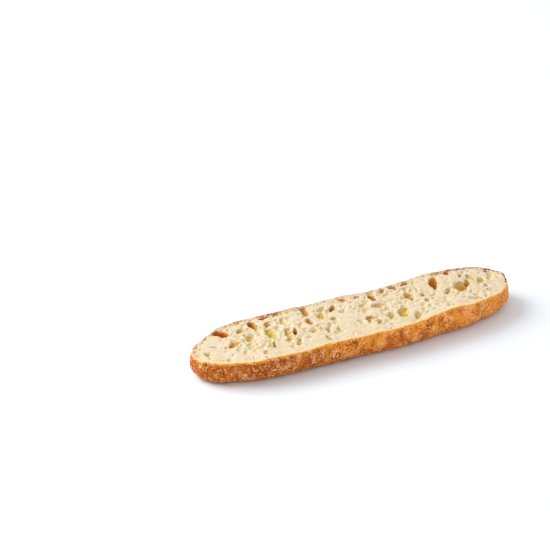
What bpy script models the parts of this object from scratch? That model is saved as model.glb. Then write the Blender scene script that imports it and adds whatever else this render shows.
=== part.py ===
"""Lower half of a short baguette, sliced lengthwise, lying on its base with the crumb up.

Metres, +Z up. +X runs along the loaf and +Y points to its far side. The origin lies on
the base, under the middle of the loaf's bounding box.
"""

import math
import random

import bmesh
import bpy
from mathutils import Matrix, Vector, noise

MM = 0.001

# Plan of the loaf at its widest height.
LEFT_LENGTH = 135.1 * MM        # from the middle to the left tip
RIGHT_LENGTH = 135.8 * MM
HALF_WIDTH = 31.8 * MM
MIDDLE_Y = -0.85 * MM           # the middle line, half way along the loaf
BEND = 3.7 * MM                 # how far the middle line drifts to the far side at both ends
LEFT_BLUNTNESS = 4.1            # power of the superellipse: a higher one is a blunter end
RIGHT_BLUNTNESS = 5.4

# Swellings of the two sides: place along the loaf, reach along it, width gained.
FAR_SWELLINGS = (
    (-89.0 * MM, 24.0 * MM, 4.0 * MM),
    (34.5 * MM, 28.0 * MM, -3.5 * MM),
)
NEAR_SWELLINGS = (
    (27.5 * MM, 20.0 * MM, 1.0 * MM),
    (-40.5 * MM, 20.0 * MM, -1.8 * MM),
)

# Wall, from the flat base up to the rim of the cut. It changes gradually towards the tips.
TIP_START = 0.75                # part of the length from which it changes
WIDEST_Z = 15.0 * MM            # height of the widest outline
TIP_WIDEST_Z = 11.5 * MM
FOOT_REACH = 12.7 * MM          # inset that the rounded foot tends to
FOOT_POWER = 2.6                # a higher power keeps the wall upright for longer
FOOT_CLOSES = 1.0 * MM          # depth below the base at which the foot's curve would close
RIM_INSET = 1.0 * MM            # how far the rim of the cut stands inside the widest outline
TIP_RIM_INSET = 1.4 * MM
LEFT_END_RATIO = 0.95           # inset of the tips for each millimetre of the sides' inset
RIGHT_END_RATIO = 1.35

# Cut face.
THICKNESS = 21.6 * MM           # base to cut face at mid length
LEFT_DROP = 2.2 * MM            # the knife came out lower at both tips
RIGHT_DROP = 0.6 * MM
DROP_POWER = 3
NEAR_LIFT = 2.7 * MM            # the near rim rises in one place
NEAR_LIFT_X = 72.0 * MM
NEAR_LIFT_REACH = 24.0 * MM

# Low waves: of the crust, as counts round the loaf, slant, height and phase, and of the
# knife's path, as length along the loaf, slant across it, height and phase.
CRUST_WAVES = (
    (13, 40.0, 0.35 * MM, 0.4),
    (21, -70.0, 0.25 * MM, 2.1),
    (34, 110.0, 0.12 * MM, 4.4),
)
KNIFE_WAVES = (
    (47.0 * MM, 0.30, 0.25 * MM, 1.0),
    (23.0 * MM, -0.45, 0.15 * MM, 3.3),
)

# Large bubbles that the knife opened, in millimetres: x, y, long and short half-axis, depth,
# and the turn of the long axis from +X in degrees.
BUBBLES_UNDER_FAR_CRUST = (
    (-102.5, 21.5, 6.5, 4, 8, -45),
    (-89, 17.5, 3, 2.5, 4, -50),
    (-76.5, 22.5, 6, 3.5, 8, 90),
    (-66, 17.5, 3.5, 2.5, 4, 70),
    (-63.5, 27.5, 3.5, 2, 5, -5),
    (-54.5, 27, 2, 1.5, 4, 0),
    (-32, 22.5, 6, 3, 6, 80),
    (-11, 16.5, 4.5, 2, 6, 60),
    (1.5, 23, 4, 2.5, 5, -50),
    (13.5, 22.5, 2.5, 2, 3, -30),
    (24, 17, 6, 3, 9, 80),
    (35.5, 22.5, 3, 1.5, 3, 50),
    (45.5, 23, 3, 2.5, 5, -25),
    (56.5, 24.5, 4, 2.5, 5, 30),
    (78, 16.5, 8.5, 3.5, 9, 55),
    (95, 24, 4, 2.5, 5, 50),
    (101.5, 16.5, 3, 1.5, 5, 50),
    (124.5, 14, 2.5, 1.5, 4, 60),
)
BUBBLES_IN_MIDDLE = (
    (-100.5, 3, 5, 3.5, 6, 35),
    (-85.5, 6, 6.5, 3, 5, 65),
    (-69.5, 4.5, 8.5, 4, 6, -90),
    (-58.5, 0.5, 5.5, 2, 4, 65),
    (-54, 16.5, 3.5, 2, 3, 75),
    (-52.5, -1, 5, 2, 8, 65),
    (-40, -7, 3, 2.5, 6, 25),
    (-36, 6.5, 4, 2.8, 8, 70),
    (-29, -10.5, 3.5, 2, 6, 65),
    (-23.5, 10.5, 6.5, 2.5, 4, 65),
    (-17.5, 2.5, 3, 2.5, 3, 45),
    (-7, 8, 3, 2, 3, 50),
    (6, -10.5, 3, 2.5, 5, 60),
    (11.5, 8.5, 3, 2, 3, 60),
    (21.5, 3.5, 5, 4, 4, 20),
    (35, -13, 7.5, 4.5, 6, 60),
    (50, 5.5, 6.5, 4, 7, 75),
    (59, -7, 3, 2, 3, 60),
    (61.5, 2.5, 2.5, 1.5, 3, 60),
    (82, 0, 4.5, 1.5, 4, 55),
    (94, 1, 9, 5, 8, 55),
    (102.5, 5.5, 5, 2, 6, 60),
    (108.5, 11.5, 4.5, 3.2, 5, 90),
    (113, 3.5, 4.5, 2.5, 5, 35),
)
BUBBLES_TOWARDS_NEAR_RIM = (
    (-73.5, -9.5, 3, 1.5, 3, 65),
    (-60, -7, 3.5, 1.5, 3, 65),
    (-55, -15, 4.5, 1.5, 3, 65),
    (-34, -21.5, 3.5, 2, 3, -75),
    (-20, -11.5, 3.5, 1.5, 4, 60),
    (11.5, -17.5, 4, 2, 5, 65),
    (23.5, -13, 4.5, 2.5, 4, 60),
    (42, -23, 5.5, 3, 5, 60),
    (94, -21, 5, 1.5, 2, -30),
)
BUBBLES = BUBBLES_UNDER_FAR_CRUST + BUBBLES_IN_MIDDLE + BUBBLES_TOWARDS_NEAR_RIM

BUBBLE_SINK = 0.25              # a bubble's middle lies this part of its half height below the cut
BUBBLE_UNEVENNESS = 0.22
BUBBLE_KNOTS = 1.1              # lumps of a bubble's skin for each of its half-axes
FINE_BUBBLE = 7.5               # long half-axis, in millimetres, from which a bubble gets more faces

# Small pits between the bubbles, scattered by rule.
PIT_COUNT = 24
PIT_SEED = 11
PIT_RADIUS = (1.2, 2.2)         # millimetres
PIT_STRETCH = (1.0, 1.7)
PIT_DEPTH = (1.0, 1.6)          # for each short half-axis
PIT_TURN = 60                   # degrees: pits lean the way the large bubbles do
PIT_TURN_SPREAD = 30
PIT_MARGIN = 4.0 * MM           # clear of the crust
PIT_GAP = 1.0 * MM              # crumb left between two hollows
QUIET_BELT_Y = -14.0 * MM       # crumb nearer than this has few pits
QUIET_LEFT_X = -108.0 * MM      # and so has the left tip
QUIET_SHARE = 0.2

# Faces.
WALL_SEGMENTS = 120
WALL_LEVELS = (1.0, 2.6, 5.0, 9.0, 14.0, 18.5)    # millimetres above the base
BLANK_HEIGHT = 32.0 * MM        # the loaf before the cut
KNIFE_CELL = 9.0 * MM
KNIFE_MARGIN = 10.0 * MM
KNIFE_BLOCK = 20.0 * MM

# Looks.
CRUST_COLOUR = (0.50, 0.19, 0.055, 1.0)
CRUST_ROUGHNESS = 0.75
CRUMB_COLOUR = (0.80, 0.63, 0.38, 1.0)
CRUMB_ROUGHNESS = 0.9
SHARP_EDGE = math.radians(40)


def clear_objects():
    """Empty the scene."""
    for item in list(bpy.data.objects):
        bpy.data.objects.remove(item, do_unlink=True)


def swelling(x, swellings):
    """Width gained at a place along the loaf."""
    return sum(gain * math.exp(-((x - place) / reach) ** 2) for place, reach, gain in swellings)


def along(x):
    """Place along the loaf: 0 in the middle, 1 at either tip."""
    return min(1.0, abs(x) / (LEFT_LENGTH if x < 0 else RIGHT_LENGTH))


def tip_share(x):
    """0 along the sides, rising smoothly to 1 at a tip."""
    share = max(0.0, (along(x) - TIP_START) / (1 - TIP_START))
    return share * share * (3 - 2 * share)


def middle_line(x):
    """Y of the loaf's slightly bent middle line."""
    return MIDDLE_Y + BEND * along(x) ** 2


def half_width(x, side):
    """Width from the middle line to the far side (side 1) or the near side (side -1)."""
    bluntness = LEFT_BLUNTNESS if x < 0 else RIGHT_BLUNTNESS
    fullness = math.sqrt(1 - along(x) ** bluntness)
    swellings = FAR_SWELLINGS if side > 0 else NEAR_SWELLINGS
    return fullness * (HALF_WIDTH + swelling(x, swellings))


def wall_inset(x, height):
    """How far the wall stands inside the widest outline at a height."""
    tip = tip_share(x)
    widest_z = WIDEST_Z + (TIP_WIDEST_Z - WIDEST_Z) * tip
    below = max(0.0, (widest_z - height) / (widest_z + FOOT_CLOSES))
    above = max(0.0, (height - widest_z) / (THICKNESS - widest_z))
    foot = FOOT_REACH * (1 - math.sqrt(1 - below ** FOOT_POWER))
    return foot + (RIM_INSET + (TIP_RIM_INSET - RIM_INSET) * tip) * above ** 2


def crust_wave(angle, height):
    """Low unevenness of the crust, outwards positive."""
    return sum(rise * math.sin(count * angle + slant * height + phase)
               for count, slant, rise, phase in CRUST_WAVES)


def wall_point(angle, height):
    """A point of the wall. Angle 0 is the right tip and a quarter turn is the far side."""
    side = 1 if math.sin(angle) >= 0 else -1
    cosine = math.cos(angle)
    x = cosine * (LEFT_LENGTH if cosine < 0 else RIGHT_LENGTH)
    reach = side * half_width(x, side)
    inset = wall_inset(x, height) - crust_wave(angle, height)
    end_ratio = LEFT_END_RATIO if cosine < 0 else RIGHT_END_RATIO
    y = middle_line(x) + reach * (1 - inset / HALF_WIDTH)
    return Vector((x - end_ratio * inset * cosine, y, height))


def cut_height(x, y):
    """Height of the cut face."""
    drop = LEFT_DROP if x < 0 else RIGHT_DROP
    height = THICKNESS - drop * along(x) ** DROP_POWER
    towards_near_rim = min(1.0, max(0.0, -y / HALF_WIDTH))
    height += NEAR_LIFT * towards_near_rim * math.exp(-((x - NEAR_LIFT_X) / NEAR_LIFT_REACH) ** 2)
    for length, slant, rise, phase in KNIFE_WAVES:
        height += rise * math.sin(math.tau * (x + slant * y) / length + phase)
    return height


def principled(name, colour, roughness):
    """A material of one colour."""
    material = bpy.data.materials.new(name)
    material.use_nodes = True
    shader = material.node_tree.nodes["Principled BSDF"]
    shader.inputs["Base Color"].default_value = colour
    shader.inputs["Roughness"].default_value = roughness
    material.diffuse_color = colour
    return material


def new_object(name, bm, collection, material):
    """Turn a bmesh into an object in a collection."""
    mesh = bpy.data.meshes.new(name)
    bm.to_mesh(mesh)
    bm.free()
    mesh.materials.append(material)
    item = bpy.data.objects.new(name, mesh)
    collection.objects.link(item)
    return item


def new_collection(name):
    collection = bpy.data.collections.new(name)
    bpy.context.scene.collection.children.link(collection)
    return collection


def add_blank(collection, material):
    """The loaf before the cut: a cylinder in levels, drawn to the wall's shape."""
    bm = bmesh.new()
    bmesh.ops.create_cone(
        bm, cap_ends=True, segments=WALL_SEGMENTS, radius1=1.0, radius2=1.0, depth=BLANK_HEIGHT,
        matrix=Matrix.Translation((0, 0, BLANK_HEIGHT / 2)))
    for level in WALL_LEVELS:
        bmesh.ops.bisect_plane(
            bm, geom=bm.verts[:] + bm.edges[:] + bm.faces[:],
            plane_co=(0, 0, level * MM), plane_no=(0, 0, 1))
    for vert in bm.verts:
        vert.co = wall_point(math.atan2(vert.co.y, vert.co.x), vert.co.z)
    return new_object("half_baguette", bm, collection, material)


def centre_on_origin(loaf, cutters):
    """Move all meshes alike so that the loaf's bounding box stands centred on the origin."""
    xs = [vert.co.x for vert in loaf.data.vertices]
    ys = [vert.co.y for vert in loaf.data.vertices]
    shift = Vector((-(min(xs) + max(xs)) / 2, -(min(ys) + max(ys)) / 2, 0))
    for item in [loaf, *cutters]:
        item.data.transform(Matrix.Translation(shift))


def add_knife(collection, material):
    """A block whose wavy underside is the cut face."""
    width = RIGHT_LENGTH + KNIFE_MARGIN
    depth = HALF_WIDTH + KNIFE_MARGIN
    bm = bmesh.new()
    bmesh.ops.create_grid(
        bm, x_segments=round(2 * width / KNIFE_CELL), y_segments=round(2 * depth / KNIFE_CELL), size=1.0)
    for vert in bm.verts:
        x, y = vert.co.x * width, vert.co.y * depth
        vert.co = Vector((x, y, cut_height(x, y)))
    lifted = bmesh.ops.extrude_face_region(bm, geom=bm.faces[:])
    for vert in lifted["geom"]:
        if isinstance(vert, bmesh.types.BMVert):
            vert.co.z = THICKNESS + KNIFE_BLOCK
    bmesh.ops.recalc_face_normals(bm, faces=bm.faces[:])
    return new_object("knife", bm, collection, material)


def add_bubble(name, bubble, collection, material):
    """An uneven ellipsoid, sunk a little below the cut face."""
    x, y, long_axis, short_axis, depth, turn = bubble
    half_height = depth / (1 + BUBBLE_SINK)
    bm = bmesh.new()
    bmesh.ops.create_icosphere(bm, subdivisions=3 if long_axis >= FINE_BUBBLE else 2, radius=1.0)
    seat = Vector((x, y, 0))
    for vert in bm.verts:
        vert.co *= 1 + BUBBLE_UNEVENNESS * noise.noise(vert.co * BUBBLE_KNOTS + seat)
    shape = Matrix.Diagonal((long_axis * MM, short_axis * MM, half_height * MM, 1))
    bm.transform(Matrix.Rotation(math.radians(turn), 4, "Z") @ shape)
    middle_z = cut_height(x * MM, y * MM) - BUBBLE_SINK * half_height * MM
    bm.transform(Matrix.Translation((x * MM, y * MM, middle_z)))
    return new_object(name, bm, collection, material)


def room_for_pit(x, y, radius, hollows):
    """Whether a pit stays clear of the crust and of the hollows already there."""
    if not -LEFT_LENGTH < x - radius - PIT_MARGIN < x + radius + PIT_MARGIN < RIGHT_LENGTH:
        return False
    side = 1 if y > middle_line(x) else -1
    if abs(y - middle_line(x)) > half_width(x, side) - PIT_MARGIN - radius:
        return False
    return all(math.hypot(x - other_x, y - other_y) > radius + other + PIT_GAP
               for other_x, other_y, other in hollows)


def scatter_pits():
    """Small pits where the bubbles leave room, as bubbles of the same kind of row."""
    rng = random.Random(PIT_SEED)
    hollows = [(x * MM, y * MM, (long_axis + short_axis) / 2 * MM)
               for x, y, long_axis, short_axis, _, _ in BUBBLES]
    pits = []
    while len(pits) < PIT_COUNT:
        x = rng.uniform(-LEFT_LENGTH, RIGHT_LENGTH)
        y = rng.uniform(-HALF_WIDTH, HALF_WIDTH)
        short_axis = rng.uniform(*PIT_RADIUS)
        long_axis = short_axis * rng.uniform(*PIT_STRETCH)
        depth = short_axis * rng.uniform(*PIT_DEPTH)
        turn = rng.gauss(PIT_TURN, PIT_TURN_SPREAD)
        quiet = y < QUIET_BELT_Y or x < QUIET_LEFT_X
        skipped = quiet and rng.random() > QUIET_SHARE
        if skipped or not room_for_pit(x, y, long_axis * MM, hollows):
            continue
        hollows.append((x, y, long_axis * MM))
        pits.append((x / MM, y / MM, long_axis, short_axis, depth, turn))
    return pits


def cut_with(item, name, cutter=None, collection=None):
    """Cut an object or a collection of objects out of a part. The cut shows the cutter's material."""
    modifier = item.modifiers.new(name, "BOOLEAN")
    modifier.operation = "DIFFERENCE"
    modifier.solver = "EXACT"
    modifier.material_mode = "TRANSFER"
    if collection:
        modifier.operand_type = "COLLECTION"
        modifier.collection = collection
    else:
        modifier.object = cutter


def main():
    clear_objects()
    crust = principled("crust", CRUST_COLOUR, CRUST_ROUGHNESS)
    crumb = principled("crumb", CRUMB_COLOUR, CRUMB_ROUGHNESS)
    parts = new_collection("half baguette")
    cutters = new_collection("cutters")
    hollows = new_collection("hollows")

    loaf = add_blank(parts, crust)
    knife = add_knife(cutters, crumb)
    for number, bubble in enumerate(BUBBLES):
        add_bubble(f"bubble_{number:02d}", bubble, hollows, crumb)
    for number, pit in enumerate(scatter_pits()):
        add_bubble(f"pit_{number:02d}", pit, hollows, crumb)
    centre_on_origin(loaf, [knife, *hollows.objects])
    for cutter in [knife, *hollows.objects]:
        cutter.hide_render = True
        cutter.display_type = "WIRE"

    cut_with(loaf, "cut", cutter=knife)
    cut_with(loaf, "bubbles", collection=hollows)
    loaf.data.shade_smooth()
    loaf.data.set_sharp_from_angle(angle=SHARP_EDGE)


main()
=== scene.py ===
"""Looks of the half baguette: the holed crumb, the browned floury crust, floor, light and camera.

The loaf's form repeats the solid's. It is sampled as a field of distances, the bubbles are
taken out of it, and its surface becomes one closed mesh. Lengths are in millimetres up to
that mesh, which is in metres.
"""

import math
import random

import bpy
import numpy as np
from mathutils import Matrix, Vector


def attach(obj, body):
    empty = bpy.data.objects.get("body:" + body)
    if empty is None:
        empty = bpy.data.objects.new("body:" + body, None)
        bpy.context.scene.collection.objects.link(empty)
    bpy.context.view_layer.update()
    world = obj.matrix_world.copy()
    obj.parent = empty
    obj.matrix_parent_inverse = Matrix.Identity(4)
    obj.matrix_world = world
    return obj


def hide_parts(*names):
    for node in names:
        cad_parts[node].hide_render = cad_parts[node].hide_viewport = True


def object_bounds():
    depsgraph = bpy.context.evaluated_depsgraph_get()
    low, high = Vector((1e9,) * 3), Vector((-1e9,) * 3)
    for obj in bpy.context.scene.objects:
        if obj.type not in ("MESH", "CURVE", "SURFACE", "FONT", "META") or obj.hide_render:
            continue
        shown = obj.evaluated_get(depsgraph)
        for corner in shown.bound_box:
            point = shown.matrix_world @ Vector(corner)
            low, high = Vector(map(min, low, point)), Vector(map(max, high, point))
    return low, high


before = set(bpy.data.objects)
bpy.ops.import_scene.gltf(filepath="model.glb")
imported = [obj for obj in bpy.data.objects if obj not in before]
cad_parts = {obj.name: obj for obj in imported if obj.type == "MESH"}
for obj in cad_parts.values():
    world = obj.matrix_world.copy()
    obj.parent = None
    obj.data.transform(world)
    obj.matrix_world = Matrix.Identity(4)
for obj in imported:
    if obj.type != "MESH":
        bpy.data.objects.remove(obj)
cad_low, cad_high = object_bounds()

NODE = "half_baguette"
MM = 0.001

# ---------------------------------------------------------------- form, as in the solid

LEFT_LENGTH = 135.1                      # from the middle to the left tip
RIGHT_LENGTH = 135.8
HALF_WIDTH = 31.8
MIDDLE_Y = -0.85                         # the middle line, half way along the loaf
BEND = 3.7                               # it drifts this far to the far side at both ends
LEFT_BLUNTNESS = 4.1                     # power of the superellipse: a higher one is a blunter end
RIGHT_BLUNTNESS = 5.4
# Swellings of the two sides: place along the loaf, reach along it, width gained.
FAR_SWELLINGS = ((-89.0, 24.0, 4.0), (34.5, 28.0, -3.5))
NEAR_SWELLINGS = ((27.5, 20.0, 1.0), (-40.5, 20.0, -1.8))

TIP_START = 0.75                         # part of the length from which the wall changes
WIDEST_Z = 15.0                          # height of the widest outline
TIP_WIDEST_Z = 11.5
FOOT_REACH = 12.7                        # inset that the rounded foot tends to
FOOT_POWER = 2.6                         # a higher power keeps the wall upright for longer
FOOT_CLOSES = 1.0                        # depth below the base at which the foot's curve would close
RIM_INSET = 1.0                          # how far the rim of the cut stands inside the widest outline
TIP_RIM_INSET = 1.4
LEFT_END_RATIO = 0.95                    # inset of the tips for each millimetre of the sides' inset
RIGHT_END_RATIO = 1.35

THICKNESS = 21.6                         # base to cut face at mid length
LEFT_DROP = 2.2                          # the cut is lower at both tips
RIGHT_DROP = 0.6
DROP_POWER = 3
NEAR_LIFT = 2.7                          # the near rim rises in one place
NEAR_LIFT_X = 72.0
NEAR_LIFT_REACH = 24.0

# Low waves: of the crust, as counts round the loaf, slant, height and phase, and of the cut, as
# length along the loaf, slant across it, height and phase.
CRUST_WAVES = ((13, 0.040, 0.35, 0.4), (21, -0.070, 0.25, 2.1), (34, 0.110, 0.12, 4.4))
KNIFE_WAVES = ((47.0, 0.30, 0.25, 1.0), (23.0, -0.45, 0.15, 3.3))

# Large bubbles: x, y, long and short half-axis, depth, turn of the long axis in degrees.
BUBBLES_UNDER_FAR_CRUST = (
    (-102.5, 21.5, 6.5, 4, 8, -45),
    (-89, 17.5, 3, 2.5, 4, -50),
    (-76.5, 22.5, 6, 3.5, 8, 90),
    (-66, 17.5, 3.5, 2.5, 4, 70),
    (-63.5, 27.5, 3.5, 2, 5, -5),
    (-54.5, 27, 2, 1.5, 4, 0),
    (-32, 22.5, 6, 3, 6, 80),
    (-11, 16.5, 4.5, 2, 6, 60),
    (1.5, 23, 4, 2.5, 5, -50),
    (13.5, 22.5, 2.5, 2, 3, -30),
    (24, 17, 6, 3, 9, 80),
    (35.5, 22.5, 3, 1.5, 3, 50),
    (45.5, 23, 3, 2.5, 5, -25),
    (56.5, 24.5, 4, 2.5, 5, 30),
    (78, 16.5, 8.5, 3.5, 9, 55),
    (95, 24, 4, 2.5, 5, 50),
    (101.5, 16.5, 3, 1.5, 5, 50),
    (124.5, 14, 2.5, 1.5, 4, 60),
)
BUBBLES_IN_MIDDLE = (
    (-100.5, 3, 5, 3.5, 6, 35),
    (-85.5, 6, 6.5, 3, 5, 65),
    (-69.5, 4.5, 8.5, 4, 6, -90),
    (-58.5, 0.5, 5.5, 2, 4, 65),
    (-54, 16.5, 3.5, 2, 3, 75),
    (-52.5, -1, 5, 2, 8, 65),
    (-40, -7, 3, 2.5, 6, 25),
    (-36, 6.5, 4, 2.8, 8, 70),
    (-29, -10.5, 3.5, 2, 6, 65),
    (-23.5, 10.5, 6.5, 2.5, 4, 65),
    (-17.5, 2.5, 3, 2.5, 3, 45),
    (-7, 8, 3, 2, 3, 50),
    (6, -10.5, 3, 2.5, 5, 60),
    (11.5, 8.5, 3, 2, 3, 60),
    (21.5, 3.5, 5, 4, 4, 20),
    (35, -13, 7.5, 4.5, 6, 60),
    (50, 5.5, 6.5, 4, 7, 75),
    (59, -7, 3, 2, 3, 60),
    (61.5, 2.5, 2.5, 1.5, 3, 60),
    (82, 0, 4.5, 1.5, 4, 55),
    (94, 1, 9, 5, 8, 55),
    (102.5, 5.5, 5, 2, 6, 60),
    (108.5, 11.5, 4.5, 3.2, 5, 90),
    (113, 3.5, 4.5, 2.5, 5, 35),
)
BUBBLES_TOWARDS_NEAR_RIM = (
    (-73.5, -9.5, 3, 1.5, 3, 65),
    (-60, -7, 3.5, 1.5, 3, 65),
    (-55, -15, 4.5, 1.5, 3, 65),
    (-34, -21.5, 3.5, 2, 3, -75),
    (-20, -11.5, 3.5, 1.5, 4, 60),
    (11.5, -17.5, 4, 2, 5, 65),
    (23.5, -13, 4.5, 2.5, 4, 60),
    (42, -23, 5.5, 3, 5, 60),
    (94, -21, 5, 1.5, 2, -30),
)
BUBBLES = BUBBLES_UNDER_FAR_CRUST + BUBBLES_IN_MIDDLE + BUBBLES_TOWARDS_NEAR_RIM
BUBBLE_SINK = 0.25                       # a bubble's middle lies this part of its half height below the cut

# How brown the crumb is inside a bubble, from 0 to 1, by the bubble's x and y. The others stay
# golden.
BROWNED = {
    (-102.5, 21.5): 1.0, (-89, 17.5): 0.6, (-76.5, 22.5): 1.0, (-66, 17.5): 0.6,
    (-63.5, 27.5): 1.0, (-54.5, 27): 0.2, (-32, 22.5): 0.6, (-11, 16.5): 0.85,
    (1.5, 23): 0.85, (13.5, 22.5): 0.5, (24, 17): 0.9, (45.5, 23): 0.8,
    (56.5, 24.5): 0.9, (78, 16.5): 0.7, (95, 24): 0.8, (101.5, 16.5): 0.5,
    (124.5, 14): 1.0, (-100.5, 3): 0.4, (-52.5, -1): 0.9, (-36, 6.5): 0.5,
    (6, -10.5): 0.45, (21.5, 3.5): 0.2, (50, 5.5): 0.3, (59, -7): 0.3,
    (61.5, 2.5): 0.3, (102.5, 5.5): 0.3, (-60, -7): 0.3, (11.5, -17.5): 0.3,
}

PIT_COUNT = 24
PIT_SEED = 11
PIT_RADIUS = (1.2, 2.2)
PIT_STRETCH = (1.0, 1.7)
PIT_DEPTH = (1.0, 1.6)                   # for each short half-axis
PIT_TURN = 60
PIT_TURN_SPREAD = 30
PIT_MARGIN = 4.0                         # clear of the crust
PIT_GAP = 1.0                            # crumb left between two hollows
QUIET_BELT_Y = -14.0                     # crumb nearer than this has few pits
QUIET_LEFT_X = -108.0                    # and so has the left tip
QUIET_SHARE = 0.2

# ---------------------------------------------------------------- finer crumb and crust

CELL = 0.42
MARGIN = 2.0                             # the samples go this far past the solid's box
TRIANGLES = 190_000
OUTLINE_STEPS = 1440
WALL_TOP = 18.5                          # height of the solid's topmost row of wall points
WALL_STEPS = 37
TIP_BLEND = (0.85, 0.95)                 # where the wall's angle passes from x's to y's

LEAN_X = -0.26                           # a hollow drifts this far for each millimetre of depth
LEAN_Y = -0.30
# Browning is set off towards the far crust, where it is real, and to the left, where it is painted shade on
# the hollows' left walls.
BROWN_AND_SHADE_SHIFT = (-0.35, 0.2)               # browning sits off the middle, in short half-axes,
BROWN_MARGIN = 0.5                       # past the half-axes by this,
BROWN_REACH = 1.35                       # goes this far against them
BROWN_FADE = 3.0                         # and fades this steeply
MOSTLY_BROWN = 0.5                       # from here on a bubble has no gentle slope
SCOOP_SHIFT = (-0.05, 0.25)              # where that slope lies, in mean half-axes,
SCOOP_SIZE = 1.03                        # how wide it is and
SCOOP_DEPTH = 0.38                       # how deep, both against the hollow
WARP = ((7.0, 0.9), (2.8, 0.6), (1.4, 0.33))     # unevenness of the hollows: wave size, push
BLEND = 0.5                              # hollows that meet run into each other over this width
HOLLOW_REACH = 2.5                       # distances to a hollow are worked out this far from it
NO_HOLLOW = 3.0                          # and are this where there is none
TINY = 1e-6                              # keeps a divisor from zero
CRUST_LEFT = 1.3                         # no hollow comes nearer the outside than this
FOOT_ROUNDING = 0.8

# Narrow slits and dents, given like the bubbles, and the shallow left end of the leftmost one.
SLITS = (
    (92.8, -18.9, 8.8, 0.85, 2.6, -31),
    (-107, 22.5, 3.3, 2.2, 4.0, -35),
    (-115.5, 8, 3.4, 1.0, 3.2, -30),
    (-123, 1.5, 3.0, 1.0, 3.2, -30),
    (-107.5, -10.5, 2.6, 1.1, 1.2, 60),
    (-91, -8.5, 2.0, 1.0, 1.0, 60),
    (-96, -20, 2.2, 0.9, 1.0, 60),
    (-92, -23, 1.8, 0.8, 0.9, 60),
)

# Finer hollows: how many, radius from and to, height of the middle over the cut from and to in
# radii, and stretch.
DENTS = (2000, (1.2, 3.4), (0.6, 0.94), 1.8)
SMALL_HOLLOWS = (110, (0.9, 2.0), (-0.2, 0.6), 1.8)
PORES = (900, (0.3, 0.7), (-0.2, 0.6), 1.6)
FINE_HALF_HEIGHT = (0.8, 1.3)            # in radii
FINE_NEAR_MARGIN = 4.0                   # they are drawn from this far past the near side,
FINE_FAR_MARGIN = 6.0                    # and up to this far past the far side
QUIET_SHARE_OF_FINE = 0.25
QUIET_RIGHT_X = 110.0                    # the right tip has few of them too

# Pits along the far rim near both ends: from x, to x and how many; radius, height and distance
# from the outside.
RIM_PIT_PLACES = ((-128, -45, 70), (96, 132, 30))
RIM_PIT_RADIUS = (0.5, 1.1)
RIM_PIT_HEIGHT = (0.0, 0.5)
RIM_PIT_INSET = (2.6, 6.5)

PORES_PER_BUBBLE = 12
BUBBLE_PORE_RADIUS = (0.5, 1.3)
BUBBLE_PORE_SEAT = 0.94                  # they sit at this share of the bubble's half-axes
CRUMB_SEED = 23

FILLED = 0.01                            # how far inside a filled sample counts, in millimetres

# Relief of the cut and the crust: wave size and height. It only goes inwards, and only where the
# waves rise above minus its level.
CUT_ROUGHNESS = ((4.0, 0.16), (1.7, 0.12), (0.9, 0.07))
CUT_LEVEL = 0.1
BLISTERS = ((6.0, 0.14), (2.2, 0.22), (1.1, 0.14))
BLISTER_LEVEL = 0.25


def smooth_step(value, low, high):
    share = np.clip((value - low) / (high - low), 0, 1)
    return share * share * (3 - 2 * share)


def swelling(x, swellings):
    return sum(gain * np.exp(-((x - place) / reach) ** 2) for place, reach, gain in swellings)


def by_end(x, left, right):
    return np.where(x < 0, left, right)


def turned(x, y, turn):
    """Places along and across an axis that is turned by that angle."""
    return x * math.cos(turn) + y * math.sin(turn), y * math.cos(turn) - x * math.sin(turn)


def upright(x, y, depth):
    """Where points would be if the hollows went straight down."""
    return x - LEAN_X * depth, y - LEAN_Y * depth


def along(x):
    """Place along the loaf: 0 in the middle, 1 at either tip."""
    return np.clip(np.abs(x) / by_end(x, LEFT_LENGTH, RIGHT_LENGTH), 0, 1)


def middle_line(x):
    return MIDDLE_Y + BEND * along(x) ** 2


def half_width(x, far):
    """Width from the middle line to the far side or the near side."""
    fullness = np.sqrt(1 - along(x) ** by_end(x, LEFT_BLUNTNESS, RIGHT_BLUNTNESS))
    gained = np.where(far, swelling(x, FAR_SWELLINGS), swelling(x, NEAR_SWELLINGS))
    return fullness * (HALF_WIDTH + gained)


def wall_inset(x, z):
    """How far the wall stands inside the widest outline at a height."""
    tip = smooth_step(along(x), TIP_START, 1)
    widest_z = WIDEST_Z + (TIP_WIDEST_Z - WIDEST_Z) * tip
    below = np.clip((widest_z - z) / (widest_z + FOOT_CLOSES), 0, 1)
    above = np.clip((z - widest_z) / (THICKNESS - widest_z), 0, 2)
    rim_inset = RIM_INSET + (TIP_RIM_INSET - RIM_INSET) * tip
    return FOOT_REACH * (1 - np.sqrt(1 - below ** FOOT_POWER)) + rim_inset * above ** 2


def crust_wave(angle, z):
    return sum(rise * np.sin(count * angle + slant * z + phase)
               for count, slant, rise, phase in CRUST_WAVES)


def wall_point(angle, z):
    """A point of the solid's wall before it is centred."""
    far = np.sin(angle) >= 0
    cosine = np.cos(angle)
    x = cosine * by_end(cosine, LEFT_LENGTH, RIGHT_LENGTH)
    inset = wall_inset(x, z) - crust_wave(angle, z)
    reach = np.where(far, 1, -1) * half_width(x, far)
    y = middle_line(x) + reach * (1 - inset / HALF_WIDTH)
    return x - by_end(cosine, LEFT_END_RATIO, RIGHT_END_RATIO) * inset * cosine, y


def cut_height(x, y):
    """Height of the cut face."""
    height = THICKNESS - by_end(x, LEFT_DROP, RIGHT_DROP) * along(x) ** DROP_POWER
    height = height + (NEAR_LIFT * np.clip(-y / HALF_WIDTH, 0, 1)
                       * np.exp(-((x - NEAR_LIFT_X) / NEAR_LIFT_REACH) ** 2))
    for length, slant, rise, phase in KNIFE_WAVES:
        height = height + rise * np.sin(math.tau * (x + slant * y) / length + phase)
    return height


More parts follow.
